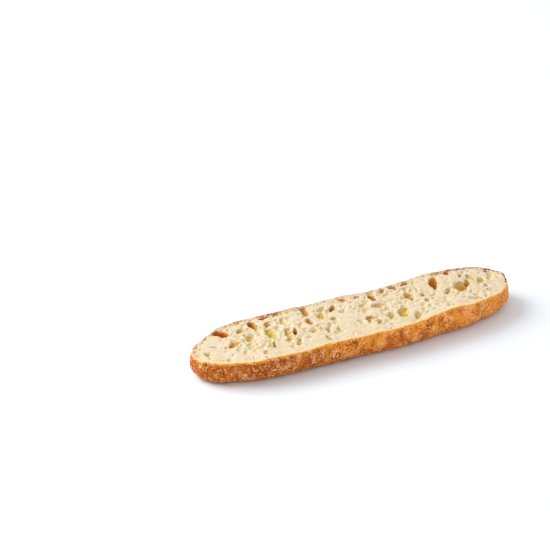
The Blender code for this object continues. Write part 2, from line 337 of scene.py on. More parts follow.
def centring_shift():
    """The step by which the solid was centred on the origin."""
    angle = np.linspace(0, math.tau, OUTLINE_STEPS + 1)[:, None]
    x, y = wall_point(angle, np.linspace(0, WALL_TOP, WALL_STEPS + 1)[None, :])
    return np.array([-(x.min() + x.max()) / 2, -(y.min() + y.max()) / 2, 0.0])


SHIFT = centring_shift()


class Plan:
    """Distance to the widest outline, negative inside, looked up on a grid."""

    STEP = 1.0
    REACH_X, REACH_Y = 146.0, 46.0       # about 10 mm past the outline
    LAST = 1.001                         # places are kept inside the table's last square

    def __init__(self):
        angle = np.linspace(0, math.tau, OUTLINE_STEPS + 1)
        far = np.sin(angle) >= 0
        px = np.cos(angle) * by_end(np.cos(angle), LEFT_LENGTH, RIGHT_LENGTH)
        py = middle_line(px) + np.where(far, 1, -1) * half_width(px, far)
        ax, ay = px[:-1], py[:-1]
        dx, dy = np.diff(px), np.diff(py)
        square = dx * dx + dy * dy
        xs = np.arange(-self.REACH_X, self.REACH_X + self.STEP, self.STEP)
        ys = np.arange(-self.REACH_Y, self.REACH_Y + self.STEP, self.STEP)
        rows = []
        for x in xs:
            share = np.clip(((x - ax) * dx + (ys[:, None] - ay) * dy) / square, 0, 1)
            gap = np.hypot(x - ax - share * dx, ys[:, None] - ay - share * dy).min(1)
            aside = ys - middle_line(x)
            inside = np.abs(aside) < half_width(np.full_like(ys, x), aside > 0)
            rows.append(np.where(inside, -gap, gap))
        self.table = np.array(rows, np.float32)
        self.lengths = np.concatenate([[0], np.cumsum(np.sqrt(square))])

    def distance(self, x, y):
        u = np.clip((x + self.REACH_X) / self.STEP, 0, self.table.shape[0] - self.LAST)
        v = np.clip((y + self.REACH_Y) / self.STEP, 0, self.table.shape[1] - self.LAST)
        i, j = u.astype(np.int32), v.astype(np.int32)
        u, v = u - i, v - j
        near = self.table[i, j] * (1 - u) + self.table[i + 1, j] * u
        away = self.table[i, j + 1] * (1 - u) + self.table[i + 1, j + 1] * u
        return near * (1 - v) + away * v

    def length_to(self, angle):
        """Length of the outline from the right tip round to an angle."""
        place = np.mod(angle, math.tau) / math.tau * (len(self.lengths) - 1)
        return np.interp(place, np.arange(len(self.lengths)), self.lengths)


PLAN = Plan()


def widened(x, y, inset):
    """Where a point lands when the outline that stands `inset` inside the widest grows to it."""
    ratio = by_end(x, LEFT_END_RATIO / LEFT_LENGTH, RIGHT_END_RATIO / RIGHT_LENGTH)
    full_x = x / (1 - ratio * inset)
    middle = middle_line(full_x)
    return full_x, middle + (y - middle) / (1 - inset / HALF_WIDTH)


def outline_angle(x, y):
    """The wall's angle at a point near it: from x along the sides and from y round the tips."""
    aside = y - middle_line(x)
    by_length = along(x)
    by_width = (np.clip(1 - (aside / HALF_WIDTH) ** 2, 0, 1)
                ** (1 / by_end(x, LEFT_BLUNTNESS, RIGHT_BLUNTNESS)))
    share = smooth_step(by_length, *TIP_BLEND)
    cosine = np.copysign(by_length + (by_width - by_length) * share, x)
    return np.copysign(np.arccos(cosine), aside)


def wall_place(x, y, z):
    """The wall's angle at a point and where the point lies against the widest outline."""
    full_x, full_y = widened(x, y, wall_inset(x, z))
    angle = outline_angle(full_x, full_y)
    return angle, widened(x, y, wall_inset(full_x, z) - crust_wave(angle, z))


def wall_distance(x, y, z):
    """Distance to the smooth crust, negative inside."""
    return PLAN.distance(*wall_place(x, y, z)[1])


# ---------------------------------------------------------------- fields on a grid

CORNERS = [(i, j, k) for i in (0, 1) for j in (0, 1) for k in (0, 1)]


class Grid:
    """Sample points round the loaf, `cell` apart."""

    def __init__(self, low, high, cell):
        self.low, self.cell = np.array(low, float), cell
        self.shape = tuple(int(math.ceil((b - a) / cell)) + 1 for a, b in zip(low, high))
        axes = [a + cell * np.arange(n) for a, n in zip(low, self.shape)]
        self.x = axes[0].astype(np.float32)[:, None, None]
        self.y = axes[1].astype(np.float32)[None, :, None]
        self.z = axes[2].astype(np.float32)[None, None, :]

    def noise(self, size, rng, flat=False):
        """Soft random waves of about that size, from -1 to 1. A flat one doesn't change with z."""
        shape = self.shape[:2] + (1,) if flat else self.shape
        coarse = [int(n * self.cell / size) + 3 for n in shape]
        values = rng.uniform(-1, 1, coarse).astype(np.float32)
        for axis, n in enumerate(shape):
            place = np.arange(n) * self.cell / size + 0.5
            low = place.astype(int)
            part = (place - low).astype(np.float32)
            part = smooth_step(part, 0, 1).reshape([-1 if a == axis else 1 for a in range(3)])
            values = (np.take(values, low, axis) * (1 - part)
                      + np.take(values, low + 1, axis) * part)
        return values

    def waves(self, sizes, rng, flat=False):
        return sum(push * self.noise(size, rng, flat) for size, push in sizes)

    def sample(self, values, x, y, z):
        """Values of a field at points between the samples."""
        place = (np.stack([x, y, z], 1) - self.low) / self.cell
        first = np.clip(place.astype(np.int32), 0, np.array(self.shape) - 2)
        part = place - first
        total = np.zeros(len(x))
        for i, j, k in CORNERS:
            share = (np.where(i, part[:, 0], 1 - part[:, 0])
                     * np.where(j, part[:, 1], 1 - part[:, 1])
                     * np.where(k, part[:, 2], 1 - part[:, 2]))
            total += share * values[first[:, 0] + i, first[:, 1] + j, first[:, 2] + k]
        return total

    def block(self, centre, reach):
        """The slices of the grid within reach of a point."""
        spans = []
        for axis in range(3):
            first = int((centre[axis] - reach - self.low[axis]) / self.cell)
            last = int((centre[axis] + reach - self.low[axis]) / self.cell) + 2
            spans.append(slice(max(first, 0), max(min(last, self.shape[axis]), 0)))
        return tuple(spans)


# ---------------------------------------------------------------- hollows

def smooth_min(a, b, width):
    share = np.clip(0.5 + 0.5 * (b - a) / width, 0, 1)
    return b + (a - b) * share - width * share * (1 - share)


def room_for_pit(x, y, radius, hollows):
    """Whether a pit stays clear of the crust and of the hollows already there."""
    if not -LEFT_LENGTH < x - radius - PIT_MARGIN < x + radius + PIT_MARGIN < RIGHT_LENGTH:
        return False
    far = y > middle_line(x)
    if abs(y - middle_line(x)) > half_width(x, far) - PIT_MARGIN - radius:
        return False
    return all(math.hypot(x - other_x, y - other_y) > radius + other + PIT_GAP
               for other_x, other_y, other in hollows)


def scatter_pits():
    """The solid's small pits, drawn in the same order as there."""
    rng = random.Random(PIT_SEED)
    hollows = [(x, y, (long_axis + short_axis) / 2) for x, y, long_axis, short_axis, _, _ in BUBBLES]
    pits = []
    while len(pits) < PIT_COUNT:
        x = rng.uniform(-LEFT_LENGTH, RIGHT_LENGTH)
        y = rng.uniform(-HALF_WIDTH, HALF_WIDTH)
        short_axis = rng.uniform(*PIT_RADIUS)
        long_axis = short_axis * rng.uniform(*PIT_STRETCH)
        depth = short_axis * rng.uniform(*PIT_DEPTH)
        turn = rng.gauss(PIT_TURN, PIT_TURN_SPREAD)
        quiet = y < QUIET_BELT_Y or x < QUIET_LEFT_X
        skipped = quiet and rng.random() > QUIET_SHARE
        if skipped or not room_for_pit(x, y, long_axis, hollows):
            continue
        hollows.append((x, y, long_axis))
        pits.append((x, y, long_axis, short_axis, depth, turn))
    return pits


def leaning_hollows():
    """The bubbles and pits of the solid and the slits, as centre, half-axes and turn."""
    found = []
    for x, y, long_axis, short_axis, depth, turn in BUBBLES + tuple(scatter_pits()) + SLITS:
        half_height = depth / (1 + BUBBLE_SINK)
        centre = (x, y, float(cut_height(x, y)) - BUBBLE_SINK * half_height)
        found.append((centre, (long_axis, short_axis, half_height), math.radians(turn)))
    return found


def scoop_beside(hollow):
    """The shallow slope by which the crumb goes down into a hollow."""
    (x, y, z), (long_axis, short_axis, half_height), turn = hollow
    size = (long_axis + short_axis) / 2
    rise = half_height * (1 + BUBBLE_SINK) * (1 - SCOOP_DEPTH)
    return ((x + SCOOP_SHIFT[0] * size, y + SCOOP_SHIFT[1] * size, z + rise),
            (long_axis * SCOOP_SIZE, short_axis * SCOOP_SIZE, half_height), turn)


def pores_on(hollow, rng):
    """Small round pores in a hollow's wall and along its edge."""
    centre, axes, turn = hollow
    c, s = math.cos(turn), math.sin(turn)
    found = []
    for _ in range(PORES_PER_BUBBLE):
        around = rng.uniform(0, math.tau)
        down = rng.uniform(-BUBBLE_SINK, 1.0)
        level = math.sqrt(1 - down * down)
        along_axis = BUBBLE_PORE_SEAT * axes[0] * level * math.cos(around)
        across = BUBBLE_PORE_SEAT * axes[1] * level * math.sin(around)
        below_cut = axes[2] * (down + BUBBLE_SINK)
        radius = rng.uniform(*BUBBLE_PORE_RADIUS)
        place = (centre[0] + along_axis * c - across * s + LEAN_X * below_cut,
                 centre[1] + along_axis * s + across * c + LEAN_Y * below_cut,
                 centre[2] - axes[2] * down)
        found.append((place, (radius, radius, radius), 0.0))
    return found


def scattered(kind, rng):
    """Fine hollows of one kind, mostly small, and fewer in the quiet belt and at the tips."""
    count, (smallest, largest), (lowest, highest), stretch = kind
    found = []
    for _ in range(count):
        x = rng.uniform(-LEFT_LENGTH, RIGHT_LENGTH)
        y = rng.uniform(-HALF_WIDTH - FINE_NEAR_MARGIN, HALF_WIDTH + FINE_FAR_MARGIN)
        radius = smallest + (largest - smallest) * rng.random() ** 2
        height = radius * rng.uniform(lowest, highest)
        axes = (radius * rng.uniform(1, stretch), radius, radius * rng.uniform(*FINE_HALF_HEIGHT))
        turn = math.radians(rng.normal(PIT_TURN, PIT_TURN_SPREAD))
        quiet = y < QUIET_BELT_Y or not QUIET_LEFT_X < x < QUIET_RIGHT_X
        if quiet and rng.random() > QUIET_SHARE_OF_FINE:
            continue
        found.append(((x, y, float(cut_height(x, y)) + height), axes, turn))
    return found


def rim_pits(rng):
    """Round pits along the far rim near both ends."""
    found = []
    for first, last, count in RIM_PIT_PLACES:
        for _ in range(count):
            x = rng.uniform(first, last)
            y = middle_line(x) + half_width(x, True) - rng.uniform(*RIM_PIT_INSET)
            radius = rng.uniform(*RIM_PIT_RADIUS)
            height = radius * rng.uniform(*RIM_PIT_HEIGHT)
            centre = (float(x), float(y), float(cut_height(x, y)) + height)
            found.append((centre, (radius, radius, radius), 0.0))
    return found


def carve(hollow, grid, push, shape, lean):
    """Joins one uneven ellipsoid to the hollows."""
    centre, axes, turn = shape
    block = grid.block(centre, max(axes) + HOLLOW_REACH)
    if min(s.stop - s.start for s in block) <= 0:
        return
    x = grid.x[block[0]] - centre[0] + push[0][block]
    y = grid.y[:, block[1]] - centre[1] + push[1][block]
    z = grid.z[:, :, block[2]] - centre[2] + push[2][block]
    if lean:
        x, y = upright(x, y, axes[2] * BUBBLE_SINK - z)
    u, v = turned(x, y, turn)
    u, v, w = u / axes[0], v / axes[1], z / axes[2]
    radius = np.sqrt(u * u + v * v + w * w)
    slope = np.sqrt((u / axes[0]) ** 2 + (v / axes[1]) ** 2 + (w / axes[2]) ** 2) + TINY
    hollow[block] = smooth_min(hollow[block], radius * (radius - 1) / slope, BLEND)


def hollow_field(grid):
    """Distances to the nearest hollow and to the nearest large one, negative inside it."""
    rng = np.random.default_rng(CRUMB_SEED)
    push = [grid.waves(WARP, rng) for _ in range(3)]
    hollow = np.full(grid.shape, NO_HOLLOW, np.float32)
    leaning = leaning_hollows()
    for shape in leaning:
        carve(hollow, grid, push, shape, lean=True)
    large = hollow.copy()
    bubbles = leaning[:len(BUBBLES)]
    fine = [scoop_beside(shape) for shape, bubble in zip(bubbles, BUBBLES)
            if BROWNED.get(bubble[:2], 0.0) < MOSTLY_BROWN]
    fine += [pore for shape in bubbles for pore in pores_on(shape, rng)]
    for kind in (DENTS, SMALL_HOLLOWS, PORES):
        fine += scattered(kind, rng)
    fine += rim_pits(rng)
    for shape in fine:
        carve(hollow, grid, push, shape, lean=False)
    return hollow, large


def loaf_fields(grid):
    """Distances to the dressed loaf's surface, crust, cut and large hollows, negative inside."""
    rng = np.random.default_rng(CRUMB_SEED + 1)
    wall = wall_distance(grid.x, grid.y, grid.z).astype(np.float32)
    hollow, large = hollow_field(grid)
    hollow = np.maximum(hollow, wall + CRUST_LEFT)
    blisters = grid.waves(BLISTERS, rng)
    wall = wall + np.clip(blisters + BLISTER_LEVEL, 0, None)
    body = -smooth_min(-wall, grid.z, FOOT_ROUNDING)
    rough = grid.waves(CUT_ROUGHNESS, rng, flat=True)
    cut = grid.z - cut_height(grid.x, grid.y) + np.clip(rough + CUT_LEVEL, 0, None)
    body = np.maximum(np.maximum(body, cut), -hollow)
    return body, wall, cut, large


# ---------------------------------------------------------------- surface

def fill_chequers(field):
    """Fills one corner where only two opposite corners of a square of samples are inside.

    There the surface would meet itself along an edge.
    """
    found = True
    while found:
        found = False
        for u, v in ((0, 1), (0, 2), (1, 2)):
            corners = []
            for du, dv in ((0, 0), (0, 1), (1, 1), (1, 0)):
                part = [slice(None)] * 3
                part[u] = slice(du, field.shape[u] - 1 + du)
                part[v] = slice(dv, field.shape[v] - 1 + dv)
                corners.append(field[tuple(part)])
            inside = [corner < 0 for corner in corners]
            for one, two in ((0, 1), (1, 0)):
                chequer = inside[one] & inside[one + 2] & ~inside[two] & ~inside[(two + 2) % 4]
                if chequer.any():
                    corners[two][chequer] = -FILLED
                    found = True


def crossing_middles(field, cells):
    """The middle of where the surface crosses each cell's edges, from its first corner."""
    values = np.stack([field[tuple((cells + corner).T)] for corner in CORNERS], 1)
    total = np.zeros((len(cells), 3))
    crossings = np.zeros(len(cells))
    for a, first in enumerate(CORNERS):
        for b, second in enumerate(CORNERS):
            if b <= a or sum(abs(p - q) for p, q in zip(first, second)) != 1:
                continue
            cut = (values[:, a] < 0) != (values[:, b] < 0)
            share = values[cut, a] / (values[cut, a] - values[cut, b])
            step = np.array(second) - np.array(first)
            total[cut] += np.array(first) + share[:, None] * step
            crossings[cut] += 1
    return total / crossings[:, None]


def quads_between(inside, number):
    """A quad, facing out, for each pair of neighbouring samples that the surface parts.

    Its corners are the numbers of the four cells round that pair.
    """
    quads = []
    for axis in range(3):
        u, v = (axis + 1) % 3, (axis + 2) % 3
        ahead = [slice(1, -1)] * 3
        ahead[axis] = slice(0, -1)
        beyond = list(ahead)
        beyond[axis] = slice(1, None)
        here, there = inside[tuple(ahead)], inside[tuple(beyond)]
        for out, order in ((here & ~there, (0, 1, 2, 3)), (~here & there, (3, 2, 1, 0))):
            base = np.argwhere(out)
            base[:, u] += 1
            base[:, v] += 1
            ring = []
            for du, dv in ((-1, -1), (0, -1), (0, 0), (-1, 0)):
                cell = base.copy()
                cell[:, u] += du
                cell[:, v] += dv
                ring.append(number[tuple(cell.T)])
            quads.append(np.stack([ring[n] for n in order], 1))
    return np.concatenate(quads)


def surface_net(grid, field):
    """Vertices and quads of the surface where the field is zero."""
    inside = field < 0
    span = [n - 1 for n in field.shape]
    count = np.zeros(span, np.uint8)
    for i, j, k in CORNERS:
        count += inside[i:i + span[0], j:j + span[1], k:k + span[2]]
    cells = np.argwhere((count > 0) & (count < len(CORNERS)))
    number = np.full(span, -1, np.int32)
    number[tuple(cells.T)] = np.arange(len(cells))
    points = grid.low + grid.cell * (cells + crossing_middles(field, cells))
    return points, quads_between(inside, number)


def largest_body(points, quads):
    """The surface without the hollows shut inside it and without loose scraps."""
    label = np.arange(len(points))
    a = quads.ravel()
    b = np.roll(quads, 1, axis=1).ravel()
    while True:
        low = np.minimum(label[a], label[b])
        fresh = label.copy()
        np.minimum.at(fresh, a, low)
        np.minimum.at(fresh, b, low)
        fresh = fresh[fresh]
        if (fresh == label).all():
            break
        label = fresh
    kept = label[quads[:, 0]] == np.bincount(label[quads[:, 0]]).argmax()
    quads = quads[kept]
    used = np.unique(quads)
    renumber = np.full(len(points), -1)
    renumber[used] = np.arange(len(used))
    return points[used], renumber[quads]


def add_object(name, data):
    item = bpy.data.objects.new(name, data)
    bpy.context.scene.collection.objects.link(item)
    return item


def mesh_from(name, points, quads):
    mesh = bpy.data.meshes.new(name)
    mesh.vertices.add(len(points))
    mesh.vertices.foreach_set("co", points.astype(np.float32).ravel())
    mesh.loops.add(quads.size)
    mesh.loops.foreach_set("vertex_index", quads.astype(np.int32).ravel())
    mesh.polygons.add(len(quads))
    mesh.polygons.foreach_set("loop_start", np.arange(0, quads.size, 4, dtype=np.int32))
    mesh.update(calc_edges=True)
    mesh.validate()
    return mesh


def decimated(item, triangles):
    """The object's mesh with at most that many triangles."""
    faces = 2 * len(item.data.polygons)
    item.modifiers.new("triangles", "TRIANGULATE")
    fewer = item.modifiers.new("fewer triangles", "DECIMATE")
    fewer.ratio = min(1.0, triangles / faces)
    reduced = bpy.data.meshes.new_from_object(
        item.evaluated_get(bpy.context.evaluated_depsgraph_get()))
    item.modifiers.clear()
    reduced.validate()
    return reduced


def rows_of(items, name, each=3, kind=np.float32):
    """A property of a mesh's elements, with `each` numbers for every one, in rows of three."""
    values = np.empty(len(items) * each, kind)
    items.foreach_get(name, values)
    return values.reshape(-1, 3)


def keep_in_box(mesh):
    """Brings the vertices that stand proud of the solid's box back to it."""
    places = np.clip(rows_of(mesh.vertices, "co"), np.array(cad_low), np.array(cad_high))
    mesh.vertices.foreach_set("co", places.astype(np.float32).ravel())
    mesh.update()


def vertex_places(mesh):
    """The vertices' x, y and z in the frame of the form's functions."""
    return (rows_of(mesh.vertices, "co") / MM - SHIFT).T


def add_measures(mesh, x, y, z, skin, depth, beside):
    """Stores what the material reads.

    These are the millimetres under the crust, under the cut and beside a large hollow, the browning, set
    off to the left as painted shade, and the place between the near side, -1, and the far side, 1.
    """
    skin = np.minimum(skin, z)
    upright_x, upright_y = upright(x, y, depth)
    # Browning of the bubbles, set off to the left as painted shade.
    toast_and_shade = np.zeros(len(x))
    for centre_x, centre_y, long_axis, short_axis, _, turn in BUBBLES:
        share = BROWNED.get((centre_x, centre_y), 0.0)
        aside_x = upright_x - centre_x - BROWN_AND_SHADE_SHIFT[0] * short_axis
        aside_y = upright_y - centre_y - BROWN_AND_SHADE_SHIFT[1] * short_axis
        u, v = turned(aside_x, aside_y, math.radians(turn))
        reach = np.hypot(u / (long_axis + BROWN_MARGIN), v / (short_axis + BROWN_MARGIN))
        toast_and_shade = np.maximum(toast_and_shade, share * np.clip(BROWN_FADE * (BROWN_REACH - reach), 0, 1))
    side = (y - middle_line(x)) / HALF_WIDTH
    for name, values in (("skin", skin), ("depth", depth), ("beside", beside), ("toast_and_shade", toast_and_shade),
                         ("side", side)):
        attribute = mesh.attributes.new(name, "FLOAT", "POINT")
        attribute.data.foreach_set("value", values.astype(np.float32))


# ---------------------------------------------------------------- unwrapping

# There is one flat chart seen from above, one of what faces down in the hollows, three strips of
# wall and one of the base. A chart is its corner and its scale per millimetre.
CHART_LENGTH = 276.0                     # a little more than the loaf's
CHART_WIDTH = 70.0
TOP_CHART = (0.005, 0.005, 0.99 / CHART_LENGTH)
UNDERCUT_CHART = (0.005, 0.833, 0.64 / CHART_LENGTH)
BASE_CHART = (0.005, 0.704, 0.50 / CHART_LENGTH)

# The wall's chart is its corner and its width.
WALL_CHART = (0.005, 0.265, 0.99)
WALL_STRIPS = 3
WALL_STRIP_PITCH = 0.145
WALL_STRIP_MARGIN = 4.0
WALL_CHART_TOP = 26.0
WALL_SLOPE_STEPS = 200

OUTER_SKIN = 0.7                         # the wall's faces lie no deeper than this under the crust
RIM_BAND = 1.0                           # the rim's lie no deeper than this under the cut
RIM_UP = 0.6                             # and face up at least this much
BASE_BAND = 1.0                          # the base's lie no higher than this
BASE_UP = -0.8                           # and face up at most this much


def on_wall_strips(x, y, z, corners):
    """Chart places of wall faces' corners: along by the outline and up by the wall's slope."""
    left, bottom, width = WALL_CHART
    whole = PLAN.lengths[-1]
    strip = whole / WALL_STRIPS
    scale = width / (strip + 2 * WALL_STRIP_MARGIN)
    angle, _ = wall_place(x, y, z)
    along_wall = PLAN.length_to(angle)[corners]
    along_wall = along_wall - whole * np.round((along_wall - along_wall[:, :1]) / whole)
    number = np.clip(along_wall.mean(1) // strip, 0, WALL_STRIPS - 1)[:, None]
    heights = np.linspace(0, WALL_CHART_TOP, WALL_SLOPE_STEPS)
    inset = wall_inset(np.zeros_like(heights), heights)
    climbed = np.concatenate([[0], np.cumsum(np.hypot(np.diff(inset), np.diff(heights)))])
    up_wall = np.interp(z, heights, climbed)[corners]
    return (left + scale * (along_wall - number * strip + WALL_STRIP_MARGIN),
            bottom + number * WALL_STRIP_PITCH + scale * up_wall)


def add_unwrap(mesh, x, y, z, skin, depth):
    """Texture coordinates, each face in the chart it faces."""
    corners = rows_of(mesh.loops, "vertex_index", 1, np.int32)
    normal = rows_of(mesh.polygons, "normal")
    facing_up = normal[:, 2]
    down_hollow = facing_up - LEAN_X * normal[:, 0] - LEAN_Y * normal[:, 1]
    base = (facing_up < BASE_UP) & (z[corners].mean(1) < BASE_BAND)
    rim = (facing_up > RIM_UP) & (depth[corners].mean(1) < RIM_BAND)
    wall = (skin[corners].mean(1) < OUTER_SKIN) & ~rim & ~base
    under = (down_hollow < 0) & ~wall & ~base
    top = ~(base | wall | under)

    u = np.empty(corners.shape)
    v = np.empty(corners.shape)
    upright_x, upright_y = upright(x, y, depth)
    for chosen, chart, flat_x, flat_y in ((top, TOP_CHART, upright_x, upright_y),
                                          (under, UNDERCUT_CHART, -upright_x, upright_y),
                                          (base, BASE_CHART, -x, y)):
        left, bottom, scale = chart
        u[chosen] = left + scale * (flat_x[corners[chosen]] + CHART_LENGTH / 2)
        v[chosen] = bottom + scale * (flat_y[corners[chosen]] + CHART_WIDTH / 2)
    u[wall], v[wall] = on_wall_strips(x, y, z, corners[wall])

    layer = mesh.uv_layers.new(name="OFBake")
    layer.data.foreach_set("uv", np.stack([u, v], -1).astype(np.float32).ravel())


def add_loaf():
    low = np.array(cad_low) / MM - SHIFT - MARGIN
    high = np.array(cad_high) / MM - SHIFT + MARGIN
    grid = Grid(low, high, CELL)
    body, wall, cut, large = loaf_fields(grid)
    fill_chequers(body)
    points, quads = largest_body(*surface_net(grid, body))
    item = add_object("bread", mesh_from("bread", (points + SHIFT) * MM, quads))
    item.data = decimated(item, TRIANGLES)
    keep_in_box(item.data)
    item.data.shade_smooth()
    x, y, z = vertex_places(item.data)
    skin = -grid.sample(wall, x, y, z)
    depth = -grid.sample(cut, x, y, z)
    beside = grid.sample(large, x, y, z)
    add_measures(item.data, x, y, z, skin, depth, beside)
    add_unwrap(item.data, x, y, z, skin, depth)
    return item


# ---------------------------------------------------------------- material

TOP_LIGHT = 1.29                         # how bright this studio makes a level white surface
SIDE_LIGHT = 0.84                        # and a white wall that faces the camera


def seen(red, green, blue, light):
    """Linear colour of what looks like these 0 to 255 sRGB values in that light."""
    def linear(value):
        value /= 255
        return value / 12.92 if value <= 0.04045 else ((value + 0.055) / 1.055) ** 2.4
    return tuple(linear(value) / light for value in (red, green, blue)) + (1.0,)


CREAM = seen(243, 226, 193, TOP_LIGHT)
CREAM_WARM = seen(237, 215, 173, TOP_LIGHT)
CREAM_PINK = seen(251, 230, 208, TOP_LIGHT)
# Painted highlight for the lips round the large hollows.
LIP_HIGHLIGHT = seen(255, 240, 220, TOP_LIGHT)
CRUMB_SPECK = seen(216, 198, 148, TOP_LIGHT)
# Colours down the hollows: partly the crumb's own golden tone, partly painted shade and warm bounce light
# that grow with depth.
DENT_TONE_AND_SHADE = seen(242, 221, 158, TOP_LIGHT)
HOLLOW_TONE_AND_SHADE = seen(246, 213, 112, TOP_LIGHT)
DEEP_HOLLOW_TONE_AND_SHADE = seen(242, 188, 54, TOP_LIGHT)
TOASTED = seen(234, 146, 38, TOP_LIGHT)
# Deep brown: partly real browning, partly painted shade deep in the browned hollows.
DEEP_TOAST_AND_SHADE = seen(206, 84, 0, TOP_LIGHT)
RIM_NEAR = seen(255, 230, 182, TOP_LIGHT)
RIM_FAR = seen(240, 212, 176, TOP_LIGHT)
RIM_PIT = seen(190, 128, 74, TOP_LIGHT)
RIM_SCORCHED = seen(112, 54, 18, TOP_LIGHT)

RIM_WALL = seen(246, 194, 122, SIDE_LIGHT)
CRUST_DARK = seen(170, 80, 14, SIDE_LIGHT)
CRUST_LIGHT = seen(232, 143, 48, SIDE_LIGHT)
CRUST_LEFT_END = seen(156, 74, 18, SIDE_LIGHT)
CRUST_RIGHT_END = seen(228, 144, 62, SIDE_LIGHT)
CRUST_TOP = seen(232, 154, 60, SIDE_LIGHT)
SPECK_DARK = seen(122, 50, 4, SIDE_LIGHT)
SPECK_LIGHT = seen(250, 194, 122, SIDE_LIGHT)
FLOUR = seen(238, 184, 134, SIDE_LIGHT)
SEMOLINA = seen(246, 206, 128, SIDE_LIGHT)

NOISE_TURN = (0.6, 0.8, 0.5)             # keeps the noise's lattice from lying along the loaf


class Nodes:
    """Short names for the nodes that the materials use."""

    def __init__(self, name):
        self.material = bpy.data.materials.new(name)
        self.material.use_nodes = True
        self.tree = self.material.node_tree
        self.shader = self.tree.nodes["Principled BSDF"]
        self.place = self.tree.nodes.new("ShaderNodeTexCoord").outputs["Object"]

    def link(self, source, socket):
        if isinstance(source, (int, float, tuple)):
            socket.default_value = source
        else:
            self.tree.links.new(source, socket)

    def attribute(self, name):
        node = self.tree.nodes.new("ShaderNodeAttribute")
        node.attribute_name = name
        return node.outputs["Fac"]

    def noise(self, size, detail=2.0, roughness=0.5, shift=0.0, upright=1.0):
        """Noise whose waves are about `size` millimetres long; each shift gives other waves.

        Below 1, `upright` draws the waves out along z.
        """
        mapping = self.tree.nodes.new("ShaderNodeMapping")
        mapping.inputs["Location"].default_value = (shift, shift, shift)
        mapping.inputs["Rotation"].default_value = NOISE_TURN
        mapping.inputs["Scale"].default_value = (1.0, 1.0, upright)
        self.link(self.place, mapping.inputs["Vector"])
        node = self.tree.nodes.new("ShaderNodeTexNoise")
        node.inputs["Scale"].default_value = 1 / (size * MM)
        node.inputs["Detail"].default_value = detail
        node.inputs["Roughness"].default_value = roughness
        self.link(mapping.outputs["Vector"], node.inputs["Vector"])
        return node.outputs["Fac"]

    def math(self, operation, a, b):
        node = self.tree.nodes.new("ShaderNodeMath")
        node.operation = operation
        self.link(a, node.inputs[0])
        self.link(b, node.inputs[1])
        return node.outputs[0]

    def plus(self, a, b):
        return self.math("ADD", a, b)

    def times(self, a, b):
        return self.math("MULTIPLY", a, b)

    def between(self, share, low, high):
        """From low where the share is 0 to high where it is 1."""
        node = self.tree.nodes.new("ShaderNodeMapRange")
        self.link(share, node.inputs["Value"])
        node.inputs["To Min"].default_value = low
        node.inputs["To Max"].default_value = high
        return node.outputs["Result"]

    def ramp(self, value, low, high, start=0.0, end=1.0):
        """`start` at low, `end` at high, smooth between and level beyond."""
        node = self.tree.nodes.new("ShaderNodeMapRange")
        node.interpolation_type = "SMOOTHSTEP"
        self.link(value, node.inputs["Value"])
        node.inputs["From Min"].default_value = low
        node.inputs["From Max"].default_value = high
        node.inputs["To Min"].default_value = start
        node.inputs["To Max"].default_value = end
        return node.outputs["Result"]

    def patches(self, size, low, high, most=1.0, **kind):
        """Patches of noise: 0 where it is under low and `most` where it is over high."""
        return self.ramp(self.noise(size, **kind), low, high, end=most)

    def mix(self, share, a, b):
        node = self.tree.nodes.new("ShaderNodeMix")
        node.data_type = "RGBA"
        self.link(share, node.inputs["Factor"])
        self.link(a, node.inputs["A"])
        self.link(b, node.inputs["B"])
        return node.outputs["Result"]

    def coordinates(self):
        """The object's own x, y and z in millimetres."""
        scaled = self.tree.nodes.new("ShaderNodeVectorMath")
        scaled.operation = "SCALE"
        scaled.inputs["Scale"].default_value = 1 / MM
        self.link(self.place, scaled.inputs[0])
        node = self.tree.nodes.new("ShaderNodeSeparateXYZ")
        self.link(scaled.outputs[0], node.inputs[0])
        return node.outputs

    def bump(self, height, distance, strength):
        node = self.tree.nodes.new("ShaderNodeBump")
        node.inputs["Distance"].default_value = distance * MM
        node.inputs["Strength"].default_value = strength
        self.link(height, node.inputs["Height"])
        return node.outputs["Normal"]


# The colours are laid over each other, each with its share. Depths, places and sizes of patches
# are in millimetres.

def crumb_colour(n, skin, depth, side):
    """Cream with soft patches, painted highlights on the lips, golden hollows that darken with depth partly
    as painted shade, and brown ones under the far crust.
    """
    beside = n.attribute("beside")
    below_cut = n.ramp(depth, 0.3, 1.8)
    colour = n.mix(n.patches(6.0, 0.4, 0.65), CREAM, CREAM_WARM)
    colour = n.mix(n.patches(4.5, 0.52, 0.66, shift=3.0), colour, CREAM_PINK)
    colour = n.mix(n.patches(1.8, 0.56, 0.7, most=0.5), colour, CRUMB_SPECK)
    # Painted highlight: the crumb is lighter in patches within about a millimetre of the large hollows.
    lip_highlight = n.times(n.ramp(beside, 1.3, 0.2), n.patches(2.2, 0.35, 0.6, most=0.8, shift=11.0))
    colour = n.mix(lip_highlight, colour, LIP_HIGHLIGHT)
    # Deeper under the cut the crumb turns golden, then deep gold: partly its own tone, partly painted shade
    # and bounce light in the hollows.
    colour = n.mix(below_cut, colour, DENT_TONE_AND_SHADE)
    colour = n.mix(n.ramp(depth, 1.2, 4.2), colour, HOLLOW_TONE_AND_SHADE)
    colour = n.mix(n.ramp(depth, 2.6, 7.0), colour, DEEP_HOLLOW_TONE_AND_SHADE)
    by_crust = n.times(n.ramp(skin, 6.0, 3.0), n.ramp(side, 0.1, 0.4, end=0.5))
    # The bubbles' browning, partly painted shade on their left walls.
    in_bubble = n.times(n.attribute("toast_and_shade"), n.ramp(beside, 1.5, 0.6))
    toast_and_shade = n.math("MAXIMUM", in_bubble, by_crust)
    # Darker brown the deeper and browner the hollow: partly real browning, partly painted shade.
    deeper_toast_and_shade = n.ramp(n.times(depth, n.times(toast_and_shade, toast_and_shade)), 0.8, 4.2)
    toasted = n.mix(deeper_toast_and_shade, TOASTED, DEEP_TOAST_AND_SHADE)
    return n.mix(n.times(below_cut, toast_and_shade), colour, toasted)


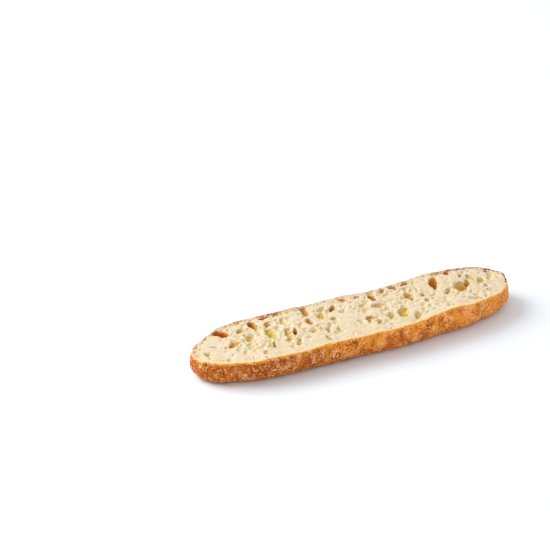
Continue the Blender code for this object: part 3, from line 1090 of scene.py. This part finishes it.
def crust_colour(n, x, z, depth):
    """Orange brown, darker to the left and, as painted shade, towards the foot, mottled with dark specks,
    light specks and flour.
    """
    colour = n.mix(n.patches(9.0, 0.35, 0.65, upright=0.65), CRUST_DARK, CRUST_LIGHT)
    # Painted shade: darker towards the foot, where the wall curves under.
    colour = n.mix(n.ramp(z, 13.0, 2.0, end=0.35), colour, CRUST_DARK)
    colour = n.mix(n.ramp(x, 20.0, -100.0, end=0.75), colour, CRUST_LEFT_END)
    colour = n.mix(n.ramp(x, 0.0, 120.0, end=0.5), colour, CRUST_RIGHT_END)
    ragged = n.plus(depth, n.times(n.noise(3.0, shift=4.0), -5.0))
    colour = n.mix(n.ramp(ragged, 0.8, -2.0, end=0.85), colour, CRUST_TOP)
    fine = n.noise(1.4, roughness=0.6)
    coarse = n.ramp(n.noise(11.0, detail=1.0, shift=9.0), 0.38, 0.6, 0.35, 0.95)
    fewer = n.times(coarse, n.ramp(x, -30.0, 50.0, 1.0, 0.85))
    colour = n.mix(n.times(n.ramp(fine, 0.49, 0.36), fewer), colour, SPECK_DARK)
    colour = n.mix(n.times(n.ramp(fine, 0.54, 0.68), coarse), colour, SPECK_LIGHT)
    floury = n.patches(6.0, 0.55, 0.68, detail=1.0, shift=7.0, upright=0.6)
    dusting = n.patches(1.3, 0.42, 0.62, most=0.8, detail=3.0, roughness=0.65, shift=1.0)
    colour = n.mix(n.times(floury, dusting), colour, FLOUR)
    foot = n.times(n.ramp(z, 6.0, 1.0), n.patches(5.0, 0.4, 0.55, detail=1.0, shift=2.0))
    grains = n.patches(1.2, 0.52, 0.62, most=0.8, detail=1.0, shift=5.0)
    return n.mix(n.times(foot, grains), colour, SEMOLINA)


def rim_colour(n, x, side, far, skin):
    """The crust's cut edge: bright gold in front, tan at the back with brown pits at both ends.

    Round the right end its outermost line is scorched.
    """
    ends = n.plus(n.ramp(x, -10.0, -40.0), n.ramp(x, 80.0, 100.0))
    pits = n.times(ends, n.patches(1.9, 0.52, 0.62, shift=6.0))
    colour = n.mix(far, RIM_NEAR, n.mix(pits, RIM_FAR, RIM_PIT))
    right_end = n.times(n.ramp(x, 88.0, 100.0), n.ramp(side, -0.6, -0.3))
    scorched = n.times(right_end, n.patches(3.0, 0.36, 0.56, detail=1.0, shift=13.0))
    return n.mix(n.times(scorched, n.ramp(skin, 2.1, 0.9)), colour, RIM_SCORCHED)


def bread_material():
    """Crust outside, crumb inside, and the rim's colour where they meet at the cut."""
    n = Nodes("bread")
    x, _, z = n.coordinates()
    skin = n.attribute("skin")
    depth = n.attribute("depth")
    side = n.attribute("side")
    far = n.ramp(side, -0.45, 0.15)
    rim = rim_colour(n, x, side, far, skin)
    unevenness = n.between(n.noise(2.5, shift=8.0), 1.2, -1.2)
    inwards = n.plus(n.times(skin, n.between(far, 1.0, 0.45)), unevenness)
    inwards = n.plus(inwards, n.times(n.math("MAXIMUM", depth, 0.0), 1.2))
    crumb = n.mix(n.ramp(inwards, 1.0, 2.8), rim, crumb_colour(n, skin, depth, side))
    downwards = n.plus(n.times(depth, n.between(far, 1.0, 0.35)), unevenness)
    edge = n.mix(far, RIM_WALL, rim)
    crust = n.mix(n.ramp(downwards, 1.0, 0.1), crust_colour(n, x, z, depth), edge)
    n.link(n.mix(n.ramp(skin, 0.2, 0.5), crust, crumb), n.shader.inputs["Base Color"])

    is_crumb = n.ramp(skin, 0.3, 0.9)
    n.link(n.between(is_crumb, 0.65, 0.9), n.shader.inputs["Roughness"])
    grain = n.plus(n.noise(0.9, detail=4.0, roughness=0.6), n.times(n.noise(0.35), 0.4))
    n.link(n.bump(grain, distance=0.35, strength=0.5), n.shader.inputs["Normal"])
    n.shader.inputs["Specular IOR Level"].default_value = 0.12
    return n.material


# ---------------------------------------------------------------- stage

# Places and sizes here are in metres.
FLOOR_HALF = 6.0
FLOOR_COLOUR = (0.835, 0.875, 0.925, 1.0)
CAMERA_AZIMUTH = 29.8                    # degrees to the left of the view along +Y
CAMERA_ELEVATION = 30.66
CAMERA_DISTANCE = 1.5
CAMERA_CENTRE = Vector((-0.0009, 0.0004, 0.0))   # the camera stands round this place
CAMERA_AIM = Vector((-0.0097, 0.1172, 0.0))      # and looks at this one
CAMERA_LENS = 128.8
CAMERA_SENSOR = 36.0
SOFTBOX_PLACE = Vector((-1.1, 1.0, 1.2))
SOFTBOX_SIZE = 1.4
SOFTBOX_POWER = 35
SKY_STRENGTH = 0.78


def floor_material():
    n = Nodes("floor")
    n.shader.inputs["Base Color"].default_value = FLOOR_COLOUR
    n.shader.inputs["Roughness"].default_value = 0.9
    n.shader.inputs["Specular IOR Level"].default_value = 0.0
    return n.material


def add_floor():
    mesh = bpy.data.meshes.new("floor")
    corners = [(x * FLOOR_HALF, y * FLOOR_HALF, 0) for x, y in ((-1, -1), (1, -1), (1, 1), (-1, 1))]
    mesh.from_pydata(corners, [], [(0, 1, 2, 3)])
    mesh.materials.append(floor_material())
    add_object("floor", mesh)


def aim(item, target):
    item.rotation_euler = (target - item.location).to_track_quat("-Z", "Y").to_euler()


def add_camera():
    camera = add_object("camera", bpy.data.cameras.new("camera"))
    camera.data.lens = CAMERA_LENS
    camera.data.sensor_width = CAMERA_SENSOR
    azimuth, elevation = math.radians(CAMERA_AZIMUTH), math.radians(CAMERA_ELEVATION)
    back = math.cos(elevation)
    direction = Vector((-math.sin(azimuth) * back, -math.cos(azimuth) * back, math.sin(elevation)))
    camera.location = CAMERA_CENTRE + CAMERA_DISTANCE * direction
    aim(camera, CAMERA_AIM)
    bpy.context.scene.camera = camera


def add_softbox():
    light = bpy.data.lights.new("softbox", "AREA")
    light.shape = "SQUARE"
    light.size = SOFTBOX_SIZE
    light.energy = SOFTBOX_POWER
    item = add_object("softbox", light)
    item.location = SOFTBOX_PLACE
    aim(item, Vector((0, 0, 0)))


def add_world():
    world = bpy.data.worlds.new("studio")
    world.use_nodes = True
    sky = world.node_tree.nodes["Background"].inputs
    sky["Color"].default_value = (1, 1, 1, 1)
    sky["Strength"].default_value = SKY_STRENGTH
    bpy.context.scene.world = world


add_camera()
add_floor()
add_world()
add_softbox()
bpy.context.scene.view_settings.view_transform = "Standard"

bread = add_loaf()
bread.data.materials.append(bread_material())
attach(bread, "root")
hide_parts(NODE)
